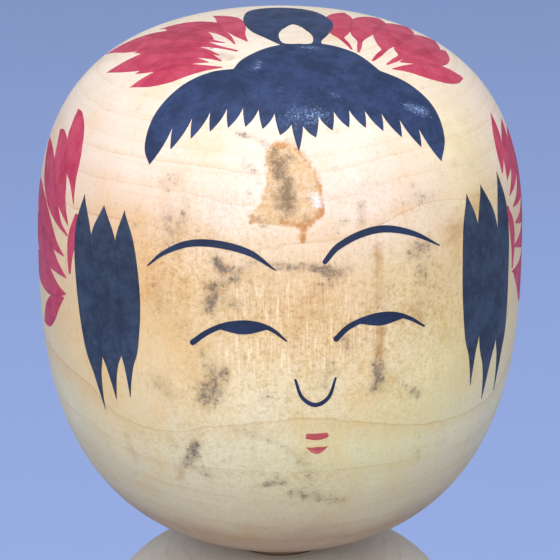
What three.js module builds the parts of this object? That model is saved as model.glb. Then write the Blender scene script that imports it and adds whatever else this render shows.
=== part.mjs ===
// A turned wooden kokeshi doll with a head that swivels.
//
// The doll is two turned pieces. The body has an undercut socket in its shoulder. The
// head, neck and tenon are one piece, and the tenon ends in a bulb that is wider than the
// socket's mouth, so the head turns about the doll's upright axis and can't be pulled out.
//
// Millimetres. +Z is up, the z axis is the doll's own axis, the foot stands on z = 0 and
// the face looks along -Y.

import * as THREE from 'three';

// ---- Driving dimensions ----------------------------------------------------------

// Body
const footRadius = 31.0; // outside of the foot that the doll stands on
const footRound = 1.2; // round on the foot's edge
const waistRadius = 27.4; // narrowest place of the body
const waistHeight = 58.0; // how high the waist is above the floor
const shoulderHeight = 138.5; // top of the rim, where the shoulder's mound begins
const rimStep = 2.6; // how far the shoulder's turned rim stands out round the mound
const rimDepth = 4.0; // how far the rim's plain band reaches down
const rimRound = 1.4; // round on the rim's upper edge
const moundRadius = 29.0; // the shoulder's mound, where it meets the rim
const moundRise = 20.0; // height of the mound's full curve above the rim
const moundSquareness = 2.5; // 2 is an ellipse, more is squarer

// Head
const headRadius = 37.0; // at its widest level
const crownHeight = 35.0; // from the widest level up to the top
const crownSquareness = 2.72;
const chinHeight = 46.5; // from the widest level down to the underside
const chinSquareness = 2.63;
const neckLength = 2.1; // short neck that shows between head and shoulder
const neckFillet = 1.2; // hollow where the neck runs out into the head

// Tenon and socket
const shankRadius = 7.0; // the tenon's straight part
const neckStep = 1.0; // how far the neck stands out round the shank
const seatMargin = 1.0; // flat of the shoulder that shows round the neck
const tenonLength = 28.0; // from the neck's foot down to the tip
const bulbSwell = 2.0; // how much wider the bulb is than the shank
const bulbLength = 8.0; // straight part of the bulb, with its chamfer
const bulbTaper = 5.0; // height over which the bulb narrows to the shank
const bulbChamfer = 2.0; // on the tip's edge
const mouthChamfer = 0.5; // on the edge of the socket's mouth
const clearance = 0.3; // between the head and the body all over

// Fineness of the turned surfaces
const turns = 72; // flats round each piece
const arcSteps = 14; // points along each long curve
const roundSteps = 3; // points along each small round
const sideSteps = 6; // points along each half of the body's side

// ---- Places worked out from them ---------------------------------------------------

const rimRadius = moundRadius + rimStep;
const neckRadius = shankRadius + neckStep;
const seatRadius = neckRadius + seatMargin;
const seatZ = shoulderHeight + superHeight(seatRadius, moundRadius, moundRise, moundSquareness);
const neckFootZ = seatZ + clearance;
const chinZ = neckFootZ + neckLength;
const widestZ = chinZ + chinHeight;

// ---- Half-section curves -----------------------------------------------------------

// Height of a quarter superellipse above its widest level, at a radius.
function superHeight(r, radius, height, squareness) {
  return height * (1 - (r / radius) ** squareness) ** (1 / squareness);
}

// Points of a quarter superellipse as [radius, height], from its widest level in to an
// inner radius.
function superArc(radius, height, squareness, innerRadius) {
  const lastAngle = Math.acos((innerRadius / radius) ** (squareness / 2));
  const points = [];
  for (let i = 0; i <= arcSteps; i++) {
    const angle = (lastAngle * i) / arcSteps;
    points.push([
      radius * Math.cos(angle) ** (2 / squareness),
      height * Math.sin(angle) ** (2 / squareness),
    ]);
  }
  points[arcSteps][0] = innerRadius;
  return points;
}

// Points of a quarter circle as [radius, z], round a centre, from one angle to another.
function quarterRound(centreR, centreZ, size, fromDegrees, toDegrees) {
  const points = [];
  for (let i = 0; i <= roundSteps; i++) {
    const angle = THREE.MathUtils.degToRad(
      fromDegrees + ((toDegrees - fromDegrees) * i) / roundSteps);
    points.push([centreR + size * Math.cos(angle), centreZ + size * Math.sin(angle)]);
  }
  return points;
}

// The tenon's half-section, from its tip on the axis up to the foot of its shank, or the
// socket's when it is grown by a gap.
function tenonOutline(gap) {
  const tipZ = neckFootZ - tenonLength - gap;
  const bulbTopZ = neckFootZ - tenonLength + bulbLength;
  const bulbRadius = shankRadius + bulbSwell + gap;
  return [
    [0, tipZ],
    [bulbRadius - bulbChamfer, tipZ],
    [bulbRadius, tipZ + bulbChamfer],
    [bulbRadius, bulbTopZ],
    [shankRadius + gap, bulbTopZ + bulbTaper],
  ];
}

// The body's side, which is hollowed to a waist: a parabola below the waist and another
// above it, from the foot's round up to the rim.
function sideOutline() {
  const rimFootZ = shoulderHeight - rimDepth;
  const points = [];
  for (let i = 1; i <= sideSteps; i++) {
    const toWaist = 1 - i / sideSteps;
    points.push([
      waistRadius + (footRadius - waistRadius) * toWaist ** 2,
      waistHeight - (waistHeight - footRound) * toWaist,
    ]);
  }
  for (let i = 1; i <= sideSteps; i++) {
    const fromWaist = i / sideSteps;
    points.push([
      waistRadius + (rimRadius - waistRadius) * fromWaist ** 2,
      waistHeight + (rimFootZ - waistHeight) * fromWaist,
    ]);
  }
  return points;
}

// ---- The two turned pieces -----------------------------------------------------------

// Turns a half-section of [radius, z] points about the z axis.
function turned(name, outline, material) {
  const points = outline.map(([r, z]) => new THREE.Vector2(r, z));
  const geometry = new THREE.LatheGeometry(points, turns);
  geometry.rotateX(Math.PI / 2);
  const mesh = new THREE.Mesh(geometry, material);
  mesh.name = name;
  return mesh;
}

function makeBody(material) {
  const mound = superArc(moundRadius, moundRise, moundSquareness, seatRadius);
  const socket = tenonOutline(clearance).reverse();
  const mouthRadius = shankRadius + clearance;
  return turned('body', [
    [0, 0],
    ...quarterRound(footRadius - footRound, footRound, footRound, -90, 0),
    ...sideOutline(),
    ...quarterRound(rimRadius - rimRound, shoulderHeight - rimRound, rimRound, 0, 90),
    ...mound.map(([r, height]) => [r, shoulderHeight + height]),
    [mouthRadius + mouthChamfer, seatZ],
    [mouthRadius, seatZ - mouthChamfer],
    ...socket,
  ], material);
}

function makeHead(material) {
  const filletTopRadius = neckRadius + neckFillet;
  const chin = superArc(headRadius, chinHeight, chinSquareness, filletTopRadius).reverse();
  const crown = superArc(headRadius, crownHeight, crownSquareness, 0).slice(1);
  const filletTopZ = widestZ - chin[0][1];
  const fillet = quarterRound(filletTopRadius, filletTopZ - neckFillet, neckFillet, 180, 90);
  return turned('head', [
    ...tenonOutline(0),
    [shankRadius, neckFootZ],
    [neckRadius, neckFootZ],
    ...fillet.slice(0, -1),
    ...chin.map(([r, drop]) => [r, widestZ - drop]),
    ...crown.map(([r, height]) => [r, widestZ + height]),
  ], material);
}

// ---- The doll --------------------------------------------------------------------------

const paleWood = { roughness: 0.5, metalness: 0 };
const headWood = new THREE.MeshStandardMaterial({ color: 0xe3c08a, ...paleWood });
const bodyWood = new THREE.MeshStandardMaterial({ color: 0xdcb67e, ...paleWood });

const doll = new THREE.Group();
doll.add(makeBody(bodyWood));
doll.add(makeHead(headWood));

export default doll;
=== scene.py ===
import math
from functools import cached_property

import bpy
import numpy as np
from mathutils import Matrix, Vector
from mathutils.geometry import delaunay_2d_cdt


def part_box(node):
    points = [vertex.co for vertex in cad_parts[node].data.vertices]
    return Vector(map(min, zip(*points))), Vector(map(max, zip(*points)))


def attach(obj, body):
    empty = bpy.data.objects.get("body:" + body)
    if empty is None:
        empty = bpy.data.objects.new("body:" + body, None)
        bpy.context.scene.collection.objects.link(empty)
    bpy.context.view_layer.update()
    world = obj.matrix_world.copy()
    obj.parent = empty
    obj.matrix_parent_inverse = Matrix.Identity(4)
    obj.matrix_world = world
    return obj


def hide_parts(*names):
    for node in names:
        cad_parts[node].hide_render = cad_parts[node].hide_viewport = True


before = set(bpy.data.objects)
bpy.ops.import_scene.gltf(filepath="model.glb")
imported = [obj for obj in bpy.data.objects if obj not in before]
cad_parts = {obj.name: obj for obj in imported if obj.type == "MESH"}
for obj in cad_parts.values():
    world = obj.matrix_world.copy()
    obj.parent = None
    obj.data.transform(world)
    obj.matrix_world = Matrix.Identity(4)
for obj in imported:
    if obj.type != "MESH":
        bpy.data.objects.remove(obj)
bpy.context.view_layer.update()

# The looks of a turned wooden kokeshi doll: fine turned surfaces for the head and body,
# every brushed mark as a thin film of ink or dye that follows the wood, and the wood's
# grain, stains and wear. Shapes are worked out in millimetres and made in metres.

MM = 0.001

# ---- Sizes, in millimetres -----------------------------------------------------------

HEAD_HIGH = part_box("head")[1]
BODY_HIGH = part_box("body")[1]

# The turned outlines repeat the values that the CAD part is made with.
HEAD_RADIUS = HEAD_HIGH.x / MM
CROWN_HEIGHT = 35.0
CROWN_SQUARENESS = 2.72
CHIN_HEIGHT = 46.5
CHIN_SQUARENESS = 2.63
CROWN_Z = HEAD_HIGH.z / MM
WIDEST_Z = CROWN_Z - CROWN_HEIGHT

SEAT_Z = BODY_HIGH.z / MM
SHOULDER_Z = 138.5
RIM_DEPTH = 4.0
RIM_ROUND = 1.4
RIM_RADIUS = BODY_HIGH.x / MM
MOUND_RADIUS = 29.0
MOUND_RISE = 20.0
MOUND_SQUARENESS = 2.5
WAIST_RADIUS = 27.4
WAIST_Z = 58.0
FOOT_RADIUS = 31.0
FOOT_ROUND = 1.2

SHANK_RADIUS = 7.0
NECK_RADIUS = 8.0
NECK_FILLET = 1.2
SEAT_RADIUS = 9.0
TENON_LENGTH = 28.0
BULB_SWELL = 2.0
BULB_LENGTH = 8.0
BULB_TAPER = 5.0
BULB_CHAMFER = 2.0
MOUTH_CHAMFER = 0.5
CLEARANCE = 0.3
NECK_FOOT_Z = SEAT_Z + CLEARANCE

# Shallow turning marks that only show close up
CHUCK_GROOVE_RADIUS = 20.0
GROOVE_DEPTH = 0.35

TURNS = 320          # flats round a turned piece
CURVE_STEP = 0.55    # length of a step along a long curve
SHORT_ARC = 8        # points along a small round
SIDE_STEPS = 100     # points along each half of the body's side


# ---- Turned outlines -----------------------------------------------------------------

def super_arc(radius, height, squareness, inner_radius):
    """[radius, rise] points of a quarter superellipse, from its widest level in to a radius."""
    angle = np.linspace(0, math.acos((inner_radius / radius) ** (squareness / 2)), 1500)
    r = radius * np.maximum(np.cos(angle), 0) ** (2 / squareness)
    rise = height * np.sin(angle) ** (2 / squareness)
    arc = np.concatenate([[0], np.cumsum(np.hypot(np.diff(r), np.diff(rise)))])
    even = np.linspace(0, arc[-1], round(arc[-1] / CURVE_STEP) + 1)
    points = [list(p) for p in zip(np.interp(even, arc, r), np.interp(even, arc, rise))]
    points[-1][0] = inner_radius
    return points


def quarter_round(centre_r, centre_z, size, start, end, steps=SHORT_ARC):
    """[radius, z] points of a small arc round a centre, between two angles in degrees."""
    angles = [math.radians(start + (end - start) * i / steps) for i in range(steps + 1)]
    return [[centre_r + size * math.cos(a), centre_z + size * math.sin(a)] for a in angles]


def tenon_outline(gap):
    """The tenon's half-section from tip to shank, or the socket's when grown by a gap."""
    tip_z = NECK_FOOT_Z - TENON_LENGTH - gap
    bulb_top = NECK_FOOT_Z - TENON_LENGTH + BULB_LENGTH
    bulb_radius = SHANK_RADIUS + BULB_SWELL + gap
    return [[0, tip_z], [bulb_radius - BULB_CHAMFER, tip_z],
            [bulb_radius, tip_z + BULB_CHAMFER], [bulb_radius, bulb_top],
            [SHANK_RADIUS + gap, bulb_top + BULB_TAPER]]


def head_outline():
    """The head's half-section, from the tenon's tip on the axis to the crown on the axis."""
    fillet_radius = NECK_RADIUS + NECK_FILLET
    chin = super_arc(HEAD_RADIUS, CHIN_HEIGHT, CHIN_SQUARENESS, fillet_radius)[::-1]
    crown = super_arc(HEAD_RADIUS, CROWN_HEIGHT, CROWN_SQUARENESS, 0)[1:]
    fillet_z = WIDEST_Z - chin[0][1]
    fillet = quarter_round(fillet_radius, fillet_z - NECK_FILLET, NECK_FILLET, 180, 90)
    lower = tenon_outline(0) + [[SHANK_RADIUS, NECK_FOOT_Z], [NECK_RADIUS, NECK_FOOT_Z]]
    return (lower + fillet[:-1] + [[r, WIDEST_Z - drop] for r, drop in chin]
            + [[r, WIDEST_Z + rise] for r, rise in crown])


def side_outline():
    """The body's hollowed side, from the foot's round up to the rim."""
    rim_foot = SHOULDER_Z - RIM_DEPTH
    points = []
    for i in range(1, SIDE_STEPS + 1):
        t = 1 - i / SIDE_STEPS
        points.append([WAIST_RADIUS + (FOOT_RADIUS - WAIST_RADIUS) * t ** 2,
                       WAIST_Z - (WAIST_Z - FOOT_ROUND) * t])
    for i in range(1, SIDE_STEPS + 1):
        t = i / SIDE_STEPS
        points.append([WAIST_RADIUS + (RIM_RADIUS - WAIST_RADIUS) * t ** 2,
                       WAIST_Z + (rim_foot - WAIST_Z) * t])
    return points


def body_outline():
    """The body's half-section, from the underside on the axis to the socket's floor."""
    groove = [[CHUCK_GROOVE_RADIUS + width, depth] for width, depth in
              ((-0.8, 0), (-0.3, GROOVE_DEPTH), (0.3, GROOVE_DEPTH), (0.8, 0))]
    foot = quarter_round(FOOT_RADIUS - FOOT_ROUND, FOOT_ROUND, FOOT_ROUND, -90, 0)
    rim = quarter_round(RIM_RADIUS - RIM_ROUND, SHOULDER_Z - RIM_ROUND, RIM_ROUND, 0, 90)
    mound = super_arc(MOUND_RADIUS, MOUND_RISE, MOUND_SQUARENESS, SEAT_RADIUS)
    mouth = SHANK_RADIUS + CLEARANCE
    socket = [[mouth + MOUTH_CHAMFER, SEAT_Z], [mouth, SEAT_Z - MOUTH_CHAMFER]]
    return ([[0, 0]] + groove + foot + side_outline() + rim
            + [[r, SHOULDER_Z + rise] for r, rise in mound]
            + socket + tenon_outline(CLEARANCE)[::-1])


# ---- Meshes --------------------------------------------------------------------------

SHARP_TURN = math.radians(32)    # a corner of an outline that turns more than this is sharp
SLOPE_STEP = 0.3                 # mm along an outline over which its slope is taken


def link(obj):
    bpy.context.scene.collection.objects.link(obj)
    return obj


def set_attribute(mesh, name, values, domain="POINT"):
    data = mesh.attributes.new(name, "FLOAT", domain).data
    data.foreach_set("value", np.asarray(values, np.float32))


def mark_sharp(mesh, flags):
    mesh.attributes.new("sharp_edge", "BOOLEAN", "EDGE").data.foreach_set("value", flags)


def turned_piece(name, outline):
    """A closed mesh made by turning a half-section about the z axis. Corners stay sharp."""
    rings = outline[1:-1]
    angles = np.linspace(0, 2 * math.pi, TURNS, endpoint=False)
    circle = np.stack([np.cos(angles), np.sin(angles)], 1)
    points = [(0, 0, outline[0][1])]
    for r, z in rings:
        points += [(x * r, y * r, z) for x, y in circle]
    points.append((0, 0, outline[-1][1]))
    faces = []
    following = [(i + 1) % TURNS for i in range(TURNS)]
    last = len(points) - 1
    top = 1 + (len(rings) - 1) * TURNS
    for i, j in enumerate(following):
        faces.append((0, 1 + j, 1 + i))
        faces.append((last, top + i, top + j))
    for k in range(len(rings) - 1):
        low = 1 + k * TURNS
        high = low + TURNS
        faces += [(low + i, low + j, high + j, high + i) for i, j in enumerate(following)]
    mesh = bpy.data.meshes.new(name)
    mesh.from_pydata([Vector(p) * MM for p in points], [], faces)
    mesh.shade_smooth()
    mark_sharp_rings(mesh, outline)
    return link(bpy.data.objects.new(name, mesh))


def mark_sharp_rings(mesh, outline):
    """Marks the rings where the outline turns a corner, so that they don't shade as round."""
    directions = [math.atan2(b[1] - a[1], b[0] - a[0]) for a, b in zip(outline, outline[1:])]
    sharp = set()
    for k, (before, after) in enumerate(zip(directions, directions[1:])):
        turn = abs(math.remainder(after - before, 2 * math.pi))
        if turn > SHARP_TURN:
            sharp.add(k)
    flags = np.zeros(len(mesh.edges), bool)
    for n, edge in enumerate(mesh.edges):
        a, b = edge.vertices
        ring = (a - 1) // TURNS
        if a > 0 and ring in sharp and (b - 1) // TURNS == ring:
            flags[n] = True
    mark_sharp(mesh, flags)


class Surface:
    """The outside of a turned piece, as a run of [radius, z] points from its top down."""

    def __init__(self, outline):
        self.r = np.array([p[0] for p in outline], float)
        self.z = np.array([p[1] for p in outline], float)
        steps = np.hypot(np.diff(self.r), np.diff(self.z))
        self.arc = np.concatenate([[0], np.cumsum(steps)])

    def arc_at(self, z):
        """How far down the surface a height is, from the top."""
        return np.interp(-np.asarray(z, float), -self.z, self.arc)

    def place(self, arc, azimuth, lift):
        """Points in metres at an arc distance and an azimuth in radians, lifted off the wood."""
        r = np.interp(arc, self.arc, self.r)
        z = np.interp(arc, self.arc, self.z)
        ahead, behind = arc + SLOPE_STEP, arc - SLOPE_STEP
        dr = np.interp(ahead, self.arc, self.r) - np.interp(behind, self.arc, self.r)
        dz = np.interp(ahead, self.arc, self.z) - np.interp(behind, self.arc, self.z)
        length = np.hypot(dr, dz)
        radius = r - dz / length * lift
        return np.stack([radius * np.sin(azimuth), -radius * np.cos(azimuth),
                         z + dr / length * lift], 1) * MM


HEAD_SKIN = Surface([p for p in head_outline() if p[1] > WIDEST_Z - CHIN_HEIGHT + 0.5
                     or p[0] > NECK_RADIUS + 1][::-1])
SOCKET_RADIUS = SHANK_RADIUS + BULB_SWELL + CLEARANCE
BODY_SKIN = Surface([[r, z] for r, z in body_outline()
                     if r > SOCKET_RADIUS + 0.2 and z > 0][::-1])


# ---- Charts: flat drawings of a mark, in millimetres ---------------------------------
#
# A mark on the crown is drawn in plan, unrolled from the crown's centre: x to the doll's
# left (the viewer's right) and y to its back. A mark on a side is drawn as (azimuth in
# degrees, height): azimuth 0 is the middle of the face, and it grows to the viewer's right.

def crown_chart(u, v):
    return np.hypot(u, v), np.arctan2(u, -v)


def side_chart(skin, radius):
    def chart(u, v):
        return skin.arc_at(v), u / radius
    return chart


HEAD_SIDE = side_chart(HEAD_SKIN, HEAD_RADIUS)
BODY_SIDE = side_chart(BODY_SKIN, WAIST_RADIUS)


def on_side(points, radius=HEAD_RADIUS):
    """(azimuth in degrees, height) points as flat chart points."""
    return [(math.radians(a) * radius, z) for a, z in points]


# ---- Brush work ----------------------------------------------------------------------

def smooth(points, step=0.3, loop=False):
    """A Catmull-Rom curve through points, of any number of values, about a step apart."""
    p = np.array(points, float)
    if loop:
        p = np.vstack([p[-1], p, p[:2]])
    else:
        p = np.vstack([2 * p[0] - p[1], p, 2 * p[-1] - p[-2]])
    out = []
    for a, b, c, d in zip(p, p[1:], p[2:], p[3:]):
        n = max(2, int(np.hypot(*(c - b)[:2]) / step))
        t = np.linspace(0, 1, n, endpoint=False)[:, None]
        out.append(0.5 * (2 * b + (c - a) * t + (2 * a - 5 * b + 4 * c - d) * t ** 2
                          + (3 * b - a - 3 * c + d) * t ** 3))
    if not loop:
        out.append(p[-2][None])
    return np.vstack(out)


def bowed(a, b, bow, step=0.3):
    """A shallow curve from a towards b that bulges to its left by a share of its length."""
    a, b = np.array(a, float), np.array(b, float)
    along = b - a
    left = np.array([-along[1], along[0]])
    n = max(3, int(np.hypot(*along) / step))
    t = np.linspace(0, 1, n, endpoint=False)[:, None]
    return a + along * t + left * bow * 4 * t * (1 - t)


HAIRLINE = 0.02          # half-width below which no stroke goes
ROUND_ENDS_FROM = 0.12   # half-width from which a stroke's end is round, not pointed


def stroke(points, halves):
    """The outline of one brush stroke: a curved line with a half-width at each point."""
    line = smooth([(x, y, w) for (x, y), w in zip(points, halves)])
    way = np.gradient(line[:, :2], axis=0)
    way /= np.maximum(np.hypot(way[:, 0], way[:, 1]), 1e-9)[:, None]
    side = np.stack([-way[:, 1], way[:, 0]], 1) * np.maximum(line[:, 2], HAIRLINE)[:, None]
    left, right = line[:, :2] + side, line[:, :2] - side
    outline = [*left, *round_end(line[-1], way[-1]), *right[::-1], *round_end(line[0], -way[0])]
    return np.array(outline)


def round_end(end, way, steps=7):
    """The points of a stroke's round end, from its left side to its right."""
    x, y, half = end
    if half < ROUND_ENDS_FROM:
        return [np.array([x, y]) + way * max(half, HAIRLINE) * 2]
    angles = np.linspace(math.pi / 2, -math.pi / 2, steps + 2)[1:-1]
    left = np.array([-way[1], way[0]])
    return [np.array([x, y]) + half * (way * math.cos(a) + left * math.sin(a))
            for a in angles]


def inside(points, polygon):
    """Which points lie in a polygon."""
    x, y = points[:, 0][:, None], points[:, 1][:, None]
    ax, ay = polygon[:, 0], polygon[:, 1]
    bx, by = np.roll(ax, -1), np.roll(ay, -1)
    crosses = (ay > y) != (by > y)
    with np.errstate(divide="ignore", invalid="ignore"):
        at = ax + (y - ay) * (bx - ax) / (by - ay)
    return (np.sum(crosses & (x < at), 1) % 2).astype(bool)


def far_from(points, polygon, distance):
    """Which points are further than a distance from a polygon's corners."""
    gaps = np.hypot(points[:, 0][:, None] - polygon[:, 0],
                    points[:, 1][:, None] - polygon[:, 1])
    return gaps.min(1) > distance


def area(polygon):
    x, y = polygon[:, 0], polygon[:, 1]
    return 0.5 * np.sum(x * np.roll(y, -1) - np.roll(x, -1) * y)


ROW_PITCH = 0.87         # a film's grid rows lie this share of its spacing apart
EDGE_MARGIN = 0.45       # and its grid points at least this share inside its edge
MERGE_DISTANCE = 1e-4
FILM_ROOT = -0.05        # a film's underside lies this far inside the wood


def film(name, outlines, chart, skin, body, material, slot, lift, holes=(), spacing=0.8):
    """A thin closed film over the area of some outlines. Where strokes lie over each
    other, the film's "coats" attribute says how many there are."""
    shapes = [s if area(s) > 0 else s[::-1] for s in [*outlines, *holes]]
    everything = np.vstack(shapes)
    low, high = everything.min(0), everything.max(0)
    rows = np.arange(low[1], high[1], spacing * ROW_PITCH)
    grid = np.array([(x + spacing / 2 * (k % 2), y) for k, y in enumerate(rows)
                     for x in np.arange(low[0], high[0], spacing)])
    kept = np.zeros(len(grid), bool)
    for shape in shapes:
        kept |= inside(grid, shape)
    for shape in shapes:
        kept &= far_from(grid, shape, spacing * EDGE_MARGIN)
    faces, start = [], 0
    for shape in shapes:
        faces.append(list(range(start, start + len(shape))))
        start += len(shape)
    flat = [Vector((float(x), float(y))) for x, y in [*everything, *grid[kept]]]
    corners, _, cells, _, _, covers = delaunay_2d_cdt(flat, [], faces, 1, MERGE_DISTANCE)
    hole_numbers = set(range(len(outlines), len(shapes)))
    picked = [(cell, len(set(cover) - hole_numbers)) for cell, cover in zip(cells, covers)
              if cover and not hole_numbers & set(cover)]
    return shell(name, np.array([(c.x, c.y) for c in corners]), picked, chart, skin, body,
                 material, lift)


def shell(name, corners, picked, chart, skin, body, material, lift):
    """Wraps flat triangles on to a turned surface as a closed shell."""
    used = sorted({i for cell, _ in picked for i in cell})
    number = {old: new for new, old in enumerate(used)}
    arc, azimuth = chart(corners[used, 0], corners[used, 1])
    top = skin.place(arc, azimuth, lift)
    root = skin.place(arc, azimuth, FILM_ROOT)
    count = len(used)
    upper, coats, sides = [], [], {}
    for cell, number_of_coats in picked:
        face = [number[i] for i in cell]
        upper.append(face)
        coats.append(number_of_coats)
        for a, b in zip(face, face[1:] + face[:1]):
            sides[(a, b)] = number_of_coats
    border = [(a, b) for a, b in sides if (b, a) not in sides]
    lower = [[i + count for i in face[::-1]] for face in upper]
    walls = [[b, a, a + count, b + count] for a, b in border]
    faces = upper + lower + walls
    mesh = bpy.data.meshes.new(name)
    mesh.from_pydata([Vector(p) for p in [*top, *root]], [], faces)
    if Vector(mesh.polygons[0].normal).dot(Vector(mesh.polygons[0].center)
                                           - Vector((0, 0, skin.z.mean() * MM))) < 0:
        mesh.flip_normals()
    mesh.shade_smooth()
    wall_edges = {tuple(sorted(e)) for e in border}
    wall_edges |= {tuple(sorted((a + count, b + count))) for a, b in border}
    mark_sharp(mesh, [tuple(sorted(e.vertices)) in wall_edges for e in mesh.edges])
    set_attribute(mesh, "coats", coats + coats + [sides[e] for e in border], "FACE")
    mesh.materials.append(material)
    obj = link(bpy.data.objects.new(name, mesh))
    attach(obj, body)
    return obj


# ---- Growth rings --------------------------------------------------------------------
#
# The blank's pith runs up the doll's axis, so a growth ring meets the surface at a nearly
# constant height. The mesh's "growth" attribute counts the rings that lie inside a point.

GROWTH_RADII = [0, 2.3, 4.8, 7.1, 9.7, 12.2, 14.7, 17.5, 19.9, 22.2, 24.7, 27.4, 30.1, 32.1,
                33.2, 34.8, 36.2, 38.4]

# Where some rings show on the face: (radius of the ring, its (azimuth, height) points)
GROWTH_TRACES = [
    (36.2, [(-40, 188.5), (-20, 191), (-10, 193), (0, 193.5), (10, 192), (20, 190),
            (30, 188.5), (43, 188)]),
    (34.8, [(-65, 224), (-50, 224.5), (-30, 224.5), (-20, 223), (0, 224), (10, 224.5),
            (20, 226.5), (30, 226.5), (45, 225.5)]),
    (33.2, [(-60, 228), (-45, 228.5), (-30, 229), (30, 229.5), (50, 229)]),
    (32.1, [(-60, 229.5), (-40, 230), (50, 231.5)]),
    (30.1, [(-60, 233), (-45, 233)]),
]
TRACE_REACH = 6.0      # mm from a traced point over which it bends the rings
WAVE_WEIGHT = 0.15     # how much the natural waves count beside the traced points


def ring_waves(azimuth, z):
    """How the rings wander from round, in mm, at an azimuth in radians and a height."""
    return (0.45 * np.sin(azimuth + 0.6) + 0.28 * np.sin(2 * azimuth + 0.045 * z)
            + 0.18 * np.sin(3 * azimuth - 0.07 * z + 1.3)
            + 0.10 * np.sin(5 * azimuth + 0.12 * z + 0.4))


def growth(place, traces):
    """The growth-ring count at some places, given in mm as rows of x, y and z."""
    x, y, z = place.T
    radius = np.hypot(x, y)
    total = WAVE_WEIGHT * ring_waves(np.arctan2(x, -y), z)
    weight = np.full(len(z), WAVE_WEIGHT)
    for ring, points in traces:
        for azimuth, height in points:
            spot = on_head(azimuth, height)
            near = np.exp(-np.sum((place - spot) ** 2, 1) / TRACE_REACH ** 2)
            total += near * (ring - math.hypot(spot[0], spot[1]))
            weight += near
    return np.interp(radius + total / weight, GROWTH_RADII, range(len(GROWTH_RADII)))


# ---- Stains and wear -----------------------------------------------------------------
#
# A smear is (strength, half-width in mm, points). Its points are (azimuth, height) on the
# head's side, or (x, y) in plan on its crown.

def on_head(azimuth, z):
    """A point of the head's surface in mm, at an azimuth in degrees and a height."""
    arc = HEAD_SKIN.arc_at([z])
    return HEAD_SKIN.place(arc, np.radians([azimuth]), 0)[0] / MM


def on_crown(x, y):
    arc, azimuth = crown_chart(np.array([x]), np.array([y]))
    return HEAD_SKIN.place(arc, azimuth, 0)[0] / MM


def smeared(place, smears, find=on_head):
    """How strongly each place lies under any of some soft smears, from 0 to 1."""
    clear = np.ones(len(place))
    for strength, half, points in smears:
        line = [find(*point) for point in points]
        away = np.full(len(place), np.inf)
        for a, b in zip(line, line[1:] or line):
            along = b - a
            share = (place - a) @ along / max(along @ along, 1e-9)
            nearest = a + np.clip(share, 0, 1)[:, None] * along
            away = np.minimum(away, np.sum((place - nearest) ** 2, 1))
        clear *= 1 - strength * np.exp(-away / half ** 2)
    return 1 - clear


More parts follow.
